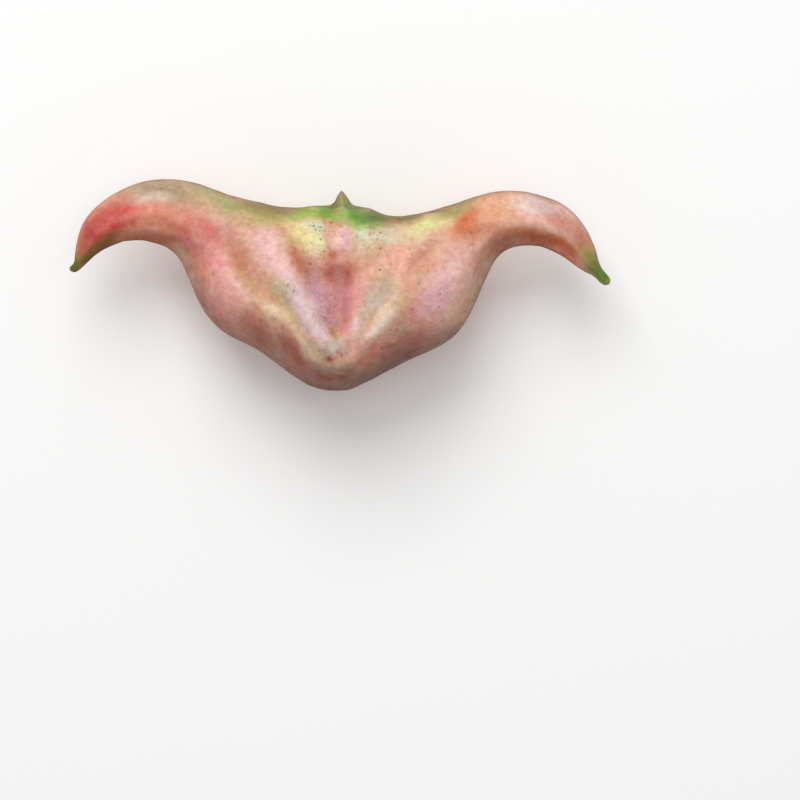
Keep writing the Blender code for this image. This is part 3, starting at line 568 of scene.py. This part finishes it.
# Tints over the painted colours: colour, how strongly it covers, and the values between which it
# comes in. The rim and the brink cover in patches instead. The hollow and lower side tints are
# painted shade, the crest tint is a painted highlight, and the rim and the brink are partly the
# skin's olive edge and partly painted shade; the mottle, the clouds and the halo are the skin's own.
TINTS = {
    # Painted shade: the hollows are darkened as if shade lay in them.
    "hollow": ((206, 150, 130), 0.3, 0.0, 1.0),
    # Painted highlight: the crests are paled as if light caught them.
    "crest": ((250, 232, 214), 0.2, 0.0, -1.0),
    # The rim and the brink are partly the skin's olive edge and partly painted shade where the skin turns
    # away from its faces.
    "rim": ((176, 150, 102), None, 0.3, 0.9),
    "brink": ((156, 140, 98), None, 0.6, 1.0),
    # Painted shade: the sides that face the stalk end, away from the key light, are darkened.
    "lower side": ((198, 132, 92), 0.45, 0.5, 0.95),
    "fine mottle": ((200, 160, 134), 0.22, 0.4, 0.65),
    "warm cloud": ((226, 176, 150), 0.3, 0.56, 0.72),
    "cool cloud": ((222, 222, 190), 0.28, 0.44, 0.3),
    "halo": ((206, 176, 136), 0.2, 0.4, 0.0),
}
SPECK_COLOUR = (92, 66, 44)

# Each set of four here and below goes from its third number to its fourth, while the pattern goes
# from the first to the second. These are how strongly the rim and the brink, which are partly painted
# shade, cover.
RIM_PATCHES = (0.3, 0.7, 0.7, 1.0)
BRINK_PATCHES = (0.35, 0.65, 0.0, 0.4)

# How bright the mottling leaves the skin.
BRIGHTNESS = (0.3, 0.7, 0.9, 1.09)

# Noise patterns of the finish: size in millimetres, detail, and roughness.
FINISH_NOISES = {
    "patches": (1.6, 3.0, 0.5),
    "fine mottle": (0.5, 4.0, 0.65),
    "brightness": (0.9, 3.0, 0.55),
    "clouds": (1.4, 4.0, 0.6),
    "ragged": (0.3, 2.0, 0.5),
    "wax": (1.2, 3.0, 0.5),
    "grain": (0.22, 3.0, 0.6),
    "puckers": (0.8, 3.0, 0.5),
}

# Specks: size of a cell and radius of its speck in millimetres, share of the cells, and darkness.
SPECKS = {
    "fine": (0.7, 0.24, 0.55, 0.6),
    "dusty": (0.4, 0.16, 0.6, 0.35),
    "small": (1.3, 0.24, 0.3, 0.7),
    "large": (3.4, 0.26, 0.3, 0.65),
}

# A speck is whole within this share of its radius. Its edge strays by about this many millimetres,
# and the small ones cover more where it is crowded.
SPECK_CORE = 0.45
SPECK_RAGGING = 0.24
SMALL_SPECKS = (0.0, 0.5, 0.2, 1.0)
NOISE_MIDDLE = (0.5, 0.5, 0.5)

# Pits: how dark, how ragged, and the distances from the edge where one comes in, in millimetres.
PIT_DARKNESS = 0.8
PIT_RAGGING = (0.3, 0.7, -0.08, 0.08)
PIT_EDGE = (0.06, -0.08)

# The skin's finish, with its lengths in millimetres.
ROUGHNESS = (0.3, 0.7, 0.42, 0.6)
SPECULAR = 0.35
SUBSURFACE = 0.1
SUBSURFACE_RADIUS = (1.0, 0.45, 0.3)
SUBSURFACE_SCALE = 1.2
GRAIN_SHARE = 0.35
SPECK_SINKING = 0.6
BUMP_STRENGTH = 0.5
BUMP_DISTANCE = 0.12

# The floor, the lamps, each with place and size in metres and power in watts, the light all round,
# and how near the camera sees, in metres.
FLOOR_SIZE = 4.0
FLOOR_COLOUR = (0.98, 0.98, 0.975, 1.0)
FLOOR_ROUGHNESS = 0.85
FLOOR_SPECULAR = 0.1
SOFTBOXES = {
    "key": ((-0.12, 0.5, 0.6), 0.5, 3.7),
    "overhead": ((0.05, 0.05, 0.95), 0.6, 1.6),
}
WHITE = (1.0, 1.0, 1.0, 1.0)
DAYLIGHT = 0.42
NEAREST_SEEN = 0.01


def linear(shares):
    """Colour shares of 0 to 1 as the renderer's linear values."""
    return np.where(shares <= 0.04045, shares / 12.92, ((shares + 0.055) / 1.055) ** 2.4)


def socket_colour(rgb):
    """A colour given in 0 to 255 as a socket takes it."""
    return (*linear(np.array(rgb) / 255.0), 1.0)


def smoothstep(low, high, value):
    """0 at low and 1 at high, which may be the smaller, with a soft start and end."""
    share = np.clip((value - low) / (high - low), 0.0, 1.0)
    return share * share * (3.0 - 2.0 * share)


def deselect_all():
    for other in bpy.context.selected_objects:
        other.select_set(False)


def select_only(obj):
    deselect_all()
    obj.select_set(True)
    bpy.context.view_layer.objects.active = obj


def copy_of_node(name):
    """A piece with the shape of a node, joined up from its loose triangles into squares."""
    piece = bpy.data.objects.new(name + "_skin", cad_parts[name].data.copy())
    bpy.context.scene.collection.objects.link(piece)
    select_only(piece)
    bpy.ops.object.mode_set(mode="EDIT")
    bpy.ops.mesh.select_all(action="SELECT")
    bpy.ops.mesh.remove_doubles(threshold=SAME_POINT * MM)
    face_angle = math.radians(SQUARE_FACE_ANGLE)
    shape_angle = math.radians(SQUARE_SHAPE_ANGLE)
    bpy.ops.mesh.tris_convert_to_quads(face_threshold=face_angle, shape_threshold=shape_angle)
    bpy.ops.object.mode_set(mode="OBJECT")
    return piece


def subdivide(piece):
    select_only(piece)
    smooth = piece.modifiers.new("smooth", "SUBSURF")
    smooth.levels = SUBDIVISIONS
    smooth.render_levels = SUBDIVISIONS
    bpy.ops.object.modifier_apply(modifier=smooth.name)


def points_of(mesh):
    points = np.empty(len(mesh.vertices) * 3)
    mesh.vertices.foreach_get("co", points)
    return points.reshape(-1, 3) / MM


def normals_of(mesh):
    normals = np.empty(len(mesh.vertices) * 3)
    mesh.vertices.foreach_get("normal", normals)
    return normals.reshape(-1, 3)


def move_to(mesh, points):
    mesh.vertices.foreach_set("co", (points * MM).ravel())
    mesh.update()


def noise_over(points, size, shift=0.0):
    """Smooth noise vectors of about -1 to 1, one for each point, with patterns of a size in millimetres."""
    places = points / size + shift
    return np.array([noise.noise_vector(Vector(place)) for place in places])


def away_from(points, path):
    """Distance of each point from a path of x and y, and the share of the path's length there."""
    stops = np.array(path)
    lengths = np.linalg.norm(np.diff(stops, axis=0), axis=1)
    starts = np.concatenate([[0.0], np.cumsum(lengths)])
    nearest = np.full(len(points), np.inf)
    shares = np.zeros(len(points))
    for number, length in enumerate(lengths):
        run = (stops[number + 1] - stops[number]) / length
        away = points - stops[number]
        along = np.clip(away @ run, 0.0, length)
        distance = np.linalg.norm(away - along[:, None] * run, axis=1)
        closer = distance < nearest
        nearest = np.where(closer, distance, nearest)
        shares = np.where(closer, (starts[number] + along) / starts[-1], shares)
    return nearest, shares


def crease_height(points, creases):
    """Height of the creases over each point, in millimetres. Each fades out to its ends."""
    total = np.zeros(len(points))
    for half_width, height, path in creases.values():
        distance, share = away_from(points[:, :2], path)
        fading = np.sqrt(smoothstep(0.0, CREASE_FADE, share) * smoothstep(1.0, 1.0 - CREASE_FADE, share))
        total += height * fading * np.exp(-((distance / half_width) ** 2))
    return total


def crown_height(points):
    """Height of what runs down from the spike round the crown, in millimetres."""
    middle = np.array([SPIKE_MIDDLE[0], MIDDLE_PLANE + SPIKE_MIDDLE[1]])
    near = points[:, 1] > CROWN_ABOVE
    total = np.zeros(len(points))
    for x, z, half_width, height in CROWN_RIBS.values():
        run = np.array([x, z])
        length = np.linalg.norm(run)
        away = points[:, [0, 2]] - middle
        along = np.clip(away @ run / length, 0.0, length)
        distance = np.linalg.norm(away - along[:, None] * run / length, axis=1)
        fading = smoothstep(*RIB_START, along) * smoothstep(length, RIB_ENDING * length, along)
        total += height * fading * np.exp(-((distance / half_width) ** 2))
    return np.where(near, total, 0.0)


def sculpt(piece):
    """Presses the fine folds into both faces, ribs the crown and sharpens the spike."""
    points = points_of(piece.data)
    normals = normals_of(piece.data)
    wandering = points + CREASE_WANDER * noise_over(points, *NOISES["creases"])
    facing = smoothstep(*CREASE_FACING, np.abs(normals[:, 2]))
    front = crease_height(wandering, FRONT_CREASES)
    back = crease_height(wandering, BACK_CREASES)
    rise = facing * np.where(points[:, 2] > MIDDLE_PLANE, front, back)
    rise += crown_height(points)
    points += rise[:, None] * normals
    distance = np.hypot(points[:, 0] - SPIKE_MIDDLE[0], points[:, 2] - MIDDLE_PLANE - SPIKE_MIDDLE[1])
    point = SPIKE_HEIGHT * np.clip(1.0 - distance / SPIKE_RADIUS, 0.0, 1.0)
    points[:, 1] += np.where(points[:, 1] > CROWN_ABOVE, point, 0.0)
    move_to(piece.data, points)


def add_lumps(piece):
    """Displaces the skin by soft patterns of three sizes, and keeps what rests on the floor flat."""
    select_only(piece)
    for name, size, height in LUMPS:
        pattern = bpy.data.textures.new(name, "CLOUDS")
        pattern.noise_scale = size * MM
        pattern.noise_depth = 1
        lumps = piece.modifiers.new(name, "DISPLACE")
        lumps.texture = pattern
        lumps.texture_coords = "LOCAL"
        lumps.mid_level = 0.5
        lumps.strength = height * MM
        bpy.ops.object.modifier_apply(modifier=lumps.name)
    points = points_of(piece.data)
    points[:, 2] = np.maximum(points[:, 2], 0.0)
    move_to(piece.data, points)


def neighbour_mean(points, edges, rounds):
    """Each point's place after some rounds of moving to the middle of its neighbours."""
    count = len(points)
    ends = np.concatenate([edges[:, 0], edges[:, 1]])
    others = np.concatenate([edges[:, 1], edges[:, 0]])
    number = np.maximum(np.bincount(ends, minlength=count), 1)
    for _ in range(rounds):
        sums = [np.bincount(ends, weights=points[others, axis], minlength=count) for axis in range(3)]
        points = np.stack(sums, axis=1) / number[:, None]
    return points


def add_value(mesh, name, values):
    attribute = mesh.attributes.new(name, "FLOAT", "POINT")
    attribute.data.foreach_set("value", values.astype(np.float32))


def measure_skin(piece):
    """Notes on each point how hollow the skin is there, and which way it faces."""
    mesh = piece.data
    points = points_of(mesh)
    normals = normals_of(mesh)
    edges = np.empty(len(mesh.edges) * 2, dtype=np.int32)
    mesh.edges.foreach_get("vertices", edges)
    edges = edges.reshape(-1, 2)
    mean = neighbour_mean(points, edges, HOLLOW_ROUNDS)
    depth = np.einsum("ij,ij->i", mean - points, normals)
    # The hollow value sets where painted shade darkens the hollows, and below zero where a painted
    # highlight pales the crests.
    add_value(mesh, "hollow", np.clip(depth / HOLLOW_DEPTH, -1.0, 1.0))
    facing = neighbour_mean(normals, edges, RIM_ROUNDS)
    facing /= np.linalg.norm(facing, axis=1, keepdims=True)
    # The side value sets where the rim and the brink lay their partly painted shade.
    add_value(mesh, "side", 1.0 - np.abs(facing[:, 2]))
    # The lower value sets where the sides facing the stalk end get painted shade.
    add_value(mesh, "lower", -normals[:, 1])


def cover_of(points, x, y, long, short, turn):
    """How far a soft-edged oval covers each point, from 0 to 1."""
    right = points[:, 0] - x
    up = points[:, 1] - y
    cosine = math.cos(math.radians(turn))
    sine = math.sin(math.radians(turn))
    along = right * cosine + up * sine
    across = up * cosine - right * sine
    return 1.0 - smoothstep(*OVAL_EDGE, np.hypot(along / long, across / short))


def lay_blushes(colours, points, blushes, face):
    """Lays each blush of a table over the colours, in the table's order."""
    for over, x, y, long, short, turn, cover in blushes.values():
        share = np.clip(cover * face * cover_of(points, x, y, long, short, turn), 0.0, 1.0)[:, None]
        colours += share * (np.array(PALETTE[over]) - colours)


def ground_colours(points):
    """The mottled ground under the blushes."""
    patterns = {name: noise_over(points, *NOISES[name]) for name in ("broad ground", "middling ground")}
    colours = np.tile(np.array(PALETTE[PLAIN_GROUND], dtype=float), (len(points), 1))
    for over, name, axis, low, high, cover in GROUND:
        share = cover * smoothstep(low, high, patterns[name][:, axis])[:, None]
        colours += share * (np.array(PALETTE[over]) - colours)
    return colours


def paint_skin(piece):
    """Paints the ground colours and every blush onto the points, as a colour attribute."""
    points = points_of(piece.data)
    wandering = points.copy()
    for size, reach in WANDERINGS:
        wandering += reach * noise_over(points, size)
    colours = ground_colours(wandering)
    broken = COVER_MIDDLE + COVER_REACH * noise_over(points, *NOISES["broken cover"])[:, 0]
    height = points[:, 2] - MIDDLE_PLANE
    lay_blushes(colours, wandering, BACK_BLUSH, broken * smoothstep(*BACK_FADE, height))
    lay_blushes(colours, wandering, FRONT_BLUSH, broken * smoothstep(*FRONT_FADE, height))
    lay_blushes(colours, wandering, ALL_ROUND_BLUSH, np.minimum(broken + ALL_ROUND_LIFT, 1.0))
    grey = colours.mean(axis=1, keepdims=True)
    colours = DEPTH * (grey + RICHNESS * (colours - grey))
    lit = linear(np.clip(colours, 0.0, 255.0) / 255.0)
    pigment = piece.data.attributes.new("pigment", "FLOAT_COLOR", "POINT")
    pigment.data.foreach_set("color", np.column_stack([lit, np.ones(len(lit))]).astype(np.float32).ravel())


def place_specks(piece):
    """Notes on each point how far the nearest pit's edge is, and how crowded with specks it is."""
    points = points_of(piece.data)
    front = smoothstep(*SPECK_FADE, points[:, 2] - MIDDLE_PLANE)
    edge = np.full(len(points), PIT_REACH)
    crowd = STRAY_CROWD * smoothstep(*STRAY_START, noise_over(points, *NOISES["stray crowds"])[:, 0])
    for pits, crowded, face in ((FRONT_PITS, FRONT_CROWDED, front), (BACK_PITS, BACK_CROWDED, 1.0 - front)):
        for x, y, radius in pits:
            away = np.hypot(points[:, 0] - x, points[:, 1] - y) - radius
            edge = np.minimum(edge, away + PIT_REACH * (1.0 - face))
        for x, y, long, short, turn, cover in crowded:
            crowd = np.maximum(crowd, face * cover * cover_of(points, x, y, long, short, turn))
    add_value(piece.data, "pit", edge)
    add_value(piece.data, "crowd", crowd)


class Nodes:
    """Builds one material's nodes. A value is a socket to link, or a plain setting."""

    def __init__(self, tree):
        self.tree = tree

    def set(self, socket, value):
        if isinstance(value, bpy.types.NodeSocket):
            self.tree.links.new(value, socket)
        else:
            socket.default_value = value

    def add(self, kind, inputs=None, **settings):
        node = self.tree.nodes.new("ShaderNode" + kind)
        for name, value in settings.items():
            setattr(node, name, value)
        for name, value in (inputs or {}).items():
            self.set(node.inputs[name], value)
        return node

    def number(self, operation, first, second=0.0):
        return self.add("Math", {0: first, 1: second}, operation=operation).outputs[0]

    def vector(self, operation, first, second):
        return self.add("VectorMath", {0: first, 1: second}, operation=operation).outputs[0]

    def scaled(self, vector, scale):
        return self.add("VectorMath", {0: vector, "Scale": scale}, operation="SCALE").outputs[0]

    def spread(self, value, low, high, to_low=0.0, to_high=1.0):
        inputs = {"Value": value, "From Min": low, "From Max": high, "To Min": to_low, "To Max": to_high}
        return self.add("MapRange", inputs, interpolation_type="SMOOTHSTEP").outputs[0]

    def mix(self, share, under, over, blend="MIX"):
        node = self.add("Mix", {0: share, 6: under, 7: over}, data_type="RGBA", blend_type=blend)
        return node.outputs[2]

    def noise(self, where, name):
        size, detail, roughness = FINISH_NOISES[name]
        inputs = {"Vector": where, "Scale": 1.0 / (size * MM), "Detail": detail, "Roughness": roughness}
        return self.add("TexNoise", inputs)

    def value(self, name):
        return self.add("Attribute", attribute_name=name).outputs["Fac"]

    def tint(self, colour, name, value, cover=None, blend="MULTIPLY"):
        """Lays a tint over a colour, where a value lies between the tint's two."""
        over, own_cover, low, high = TINTS[name]
        share = self.number("MULTIPLY", self.spread(value, low, high), cover or own_cover)
        return self.mix(share, colour, socket_colour(over), blend)


def painted_shade_highlight_and_mottle(nodes, colour, where):
    """Paints shade into the hollows and onto the sides that face the stalk end, a highlight along the
    crests, and the rims partly olive and partly in painted shade, and mottles all of it finely.
    """
    patches = nodes.noise(where, "patches").outputs[0]
    hollow = nodes.value("hollow")
    side = nodes.value("side")
    # Painted shade darkens the hollows.
    colour = nodes.tint(colour, "hollow", hollow)
    # A painted highlight pales the crests.
    colour = nodes.tint(colour, "crest", hollow, blend="MIX")
    # The rim and the brink: partly the skin's olive edge, partly painted shade where the skin turns away.
    colour = nodes.tint(colour, "rim", side, nodes.spread(patches, *RIM_PATCHES))
    colour = nodes.tint(colour, "brink", side, nodes.spread(patches, *BRINK_PATCHES))
    # Painted shade darkens the sides that face the stalk end.
    colour = nodes.tint(colour, "lower side", nodes.value("lower"))
    colour = nodes.tint(colour, "fine mottle", nodes.noise(where, "fine mottle").outputs[0])
    colour = nodes.scaled(colour, nodes.spread(nodes.noise(where, "brightness").outputs[0], *BRIGHTNESS))
    clouds = nodes.noise(where, "clouds").outputs[0]
    colour = nodes.tint(colour, "warm cloud", clouds)
    return nodes.tint(colour, "cool cloud", clouds)


def specks(nodes, where, name, cover):
    """Round specks in a share of the cells of a pattern. Returns how dark each place is."""
    size, radius, kept, darkness = SPECKS[name]
    inputs = {"Vector": where, "Scale": 1.0 / (size * MM), "Randomness": 1.0}
    cells = nodes.add("TexVoronoi", inputs)
    spot = nodes.spread(cells.outputs["Distance"], radius / size, SPECK_CORE * radius / size)
    chosen = nodes.add("SeparateColor", {0: cells.outputs["Color"]}).outputs[0]
    shown = nodes.number("MULTIPLY", spot, nodes.number("LESS_THAN", chosen, kept))
    return nodes.number("MULTIPLY", nodes.number("MULTIPLY", shown, cover), darkness)


def speckled(nodes, colour, where):
    """Darkens the specks and the pits. Returns the colour and how dark each place is."""
    away = nodes.vector("SUBTRACT", nodes.noise(where, "ragged").outputs["Color"], NOISE_MIDDLE)
    ragged = nodes.vector("ADD", where, nodes.scaled(away, SPECK_RAGGING * MM))
    crowd = nodes.value("crowd")
    covers = {"fine": crowd, "dusty": crowd, "small": nodes.spread(crowd, *SMALL_SPECKS), "large": 1.0}
    ragging = nodes.spread(nodes.noise(where, "ragged").outputs[0], *PIT_RAGGING)
    edge = nodes.number("ADD", nodes.value("pit"), ragging)
    dark = nodes.number("MULTIPLY", nodes.spread(edge, *PIT_EDGE), PIT_DARKNESS)
    for name, cover in covers.items():
        dark = nodes.number("MAXIMUM", dark, specks(nodes, ragged, name, cover))
    colour = nodes.tint(colour, "halo", edge)
    return nodes.mix(dark, colour, socket_colour(SPECK_COLOUR)), dark


def skin_material():
    material = bpy.data.materials.new("fresh_skin")
    material.use_nodes = True
    nodes = Nodes(material.node_tree)
    shader = material.node_tree.nodes["Principled BSDF"]
    where = nodes.add("TexCoord").outputs["Object"]
    pigment = nodes.add("Attribute", attribute_name="pigment").outputs["Color"]
    colour, dark = speckled(nodes, painted_shade_highlight_and_mottle(nodes, pigment, where), where)
    nodes.set(shader.inputs["Base Color"], colour)

    waxy = nodes.noise(where, "wax").outputs[0]
    nodes.set(shader.inputs["Roughness"], nodes.spread(waxy, *ROUGHNESS))
    shader.inputs["Specular IOR Level"].default_value = SPECULAR
    shader.inputs["Subsurface Weight"].default_value = SUBSURFACE
    shader.inputs["Subsurface Radius"].default_value = SUBSURFACE_RADIUS
    shader.inputs["Subsurface Scale"].default_value = SUBSURFACE_SCALE * MM

    grain = nodes.noise(where, "grain").outputs[0]
    puckers = nodes.noise(where, "puckers").outputs[0]
    height = nodes.number("ADD", nodes.number("MULTIPLY", grain, GRAIN_SHARE), puckers)
    height = nodes.number("SUBTRACT", height, nodes.number("MULTIPLY", dark, SPECK_SINKING))
    inputs = {"Height": height, "Strength": BUMP_STRENGTH, "Distance": BUMP_DISTANCE * MM}
    nodes.set(shader.inputs["Normal"], nodes.add("Bump", inputs).outputs[0])
    return material


def make_skin():
    noise.seed_set(NOISE_SEED)
    skin = copy_of_node("fruit")
    subdivide(skin)
    sculpt(skin)
    add_lumps(skin)
    measure_skin(skin)
    paint_skin(skin)
    place_specks(skin)
    skin.data.materials.clear()
    skin.data.materials.append(skin_material())
    skin.data.shade_smooth()
    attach(skin, "root")
    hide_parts("fruit")


def make_floor():
    deselect_all()
    bpy.ops.mesh.primitive_plane_add(size=FLOOR_SIZE)
    floor = bpy.context.object
    floor.name = "floor"
    material = bpy.data.materials.new("pale_paper")
    material.use_nodes = True
    shader = material.node_tree.nodes["Principled BSDF"]
    shader.inputs["Base Color"].default_value = FLOOR_COLOUR
    shader.inputs["Roughness"].default_value = FLOOR_ROUGHNESS
    shader.inputs["Specular IOR Level"].default_value = FLOOR_SPECULAR
    floor.data.materials.append(material)


def add_softbox(name, place, size, power):
    """A square lamp that faces the fruit."""
    lamp = bpy.data.lights.new(name, "AREA")
    lamp.shape = "SQUARE"
    lamp.size = size
    lamp.energy = power
    softbox = bpy.data.objects.new(name, lamp)
    softbox.location = place
    facing = Vector((0.0, 0.0, PICTURE_HEIGHT * MM)) - Vector(place)
    softbox.rotation_euler = facing.to_track_quat("-Z", "Y").to_euler()
    bpy.context.scene.collection.objects.link(softbox)


def light_scene():
    world = bpy.data.worlds.new("studio")
    world.use_nodes = True
    background = world.node_tree.nodes["Background"]
    background.inputs["Color"].default_value = WHITE
    background.inputs["Strength"].default_value = DAYLIGHT
    bpy.context.scene.world = world
    for name, (place, size, power) in SOFTBOXES.items():
        add_softbox(name, place, size, power)
    bpy.context.scene.view_settings.view_transform = "Standard"


def add_camera():
    camera = bpy.data.cameras.new("camera")
    camera.sensor_width = SENSOR_WIDTH
    camera.lens = CAMERA_DISTANCE * SENSOR_WIDTH / PICTURE_WIDTH
    camera.clip_start = NEAREST_SEEN
    eye = bpy.data.objects.new("camera", camera)
    eye.location = (PICTURE_CENTRE[0] * MM, PICTURE_CENTRE[1] * MM, (PICTURE_HEIGHT + CAMERA_DISTANCE) * MM)
    bpy.context.scene.collection.objects.link(eye)
    bpy.context.scene.camera = eye


add_camera()
light_scene()
make_floor()
make_skin()
